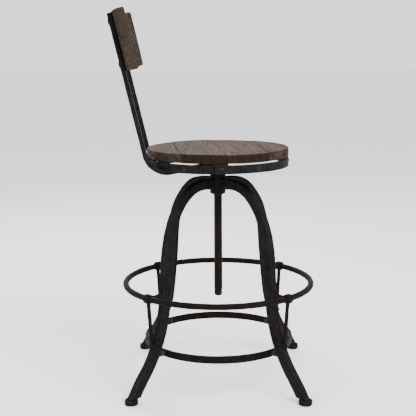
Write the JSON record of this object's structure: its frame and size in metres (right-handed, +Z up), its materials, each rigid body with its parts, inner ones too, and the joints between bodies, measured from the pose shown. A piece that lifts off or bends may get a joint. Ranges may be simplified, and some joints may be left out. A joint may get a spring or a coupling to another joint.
{
  "type": "swivel bar stool with back and footrest",
  "caption": "Round boarded seat in an iron hoop with a curved back, on a lifting screw in a cast base with splayed legs and a ring footrest.",
  "frame": {"origin": "on the floor under the lifting screw, midway between the feet", "axes": "+Z up, -Y towards the seat's front, +Y towards its back, +X to the right as seen from the front; the screw stands along Z"},
  "size_m": [0.4949, 0.5134, 0.948],
  "materials": {
    "base_iron": "worn dark bare iron",
    "hub_iron": "worn dark bare iron",
    "foot_iron": "worn dark bare iron",
    "ring_iron": "forged, rubbed at the edges",
    "bracket_iron": "worn dark bare iron",
    "strap_iron": "rolled bar, dark brown patina",
    "fastener_iron": "hammered heads",
    "screw_steel": "oiled, dark",
    "bush_steel": "oiled, dark",
    "seat_wood": "waxed, worn",
    "back_wood": "waxed, worn",
    "dowel_wood": "bare"
  },
  "bodies": {
    "base": {"hub": "base_iron", "threaded_bush": "bush_steel", "leg_back_right": "base_iron", "leg_back_left": "base_iron", "leg_front_left": "base_iron", "leg_front_right": "base_iron", "foot_back_right": "foot_iron", "foot_back_left": "foot_iron", "foot_front_left": "foot_iron", "foot_front_right": "foot_iron", "footrest_ring": "ring_iron", "footrest_bracket_back_right": "bracket_iron", "footrest_bracket_back_left": "bracket_iron", "footrest_bracket_front_left": "bracket_iron", "footrest_bracket_front_right": "bracket_iron", "lower_ring": "ring_iron", "lower_ring_studs": "fastener_iron"},
    "lift": {"screw_end_cap": "screw_steel"},
    "seat": {"lifting_screw": "screw_steel", "seat_boss": "hub_iron", "boss_pin": "fastener_iron", "seat_strap": "strap_iron", "seat_hoop": "strap_iron", "hoop_splice": "strap_iron", "hoop_rivets": "fastener_iron", "seat_board_1": "seat_wood", "seat_board_2": "seat_wood", "seat_board_3": "seat_wood", "seat_board_4": "seat_wood", "board_dowels": "dowel_wood", "seat_screws": "fastener_iron", "upright_left": "strap_iron", "upright_right": "strap_iron", "upright_foot_bolts": "fastener_iron", "back_panel": "back_wood", "panel_nuts": "fastener_iron", "panel_bolts": "fastener_iron"}
  },
  "joints": [
    {"name": "seat_rise", "type": "slide", "parent": "base", "child": "lift", "axis": [0, 0, 1], "range_m": [0, 0.18]},
    {"name": "seat_turn", "type": "hinge", "parent": "lift", "child": "seat", "pos_m": [0, 0, 0.6], "axis": [0, 0, 1], "range_deg": [0, 12960]}
  ],
  "couplings": [
    {"joint": "seat_rise", "follows": "seat_turn", "m_per_rad": 0.00079577}
  ]
}
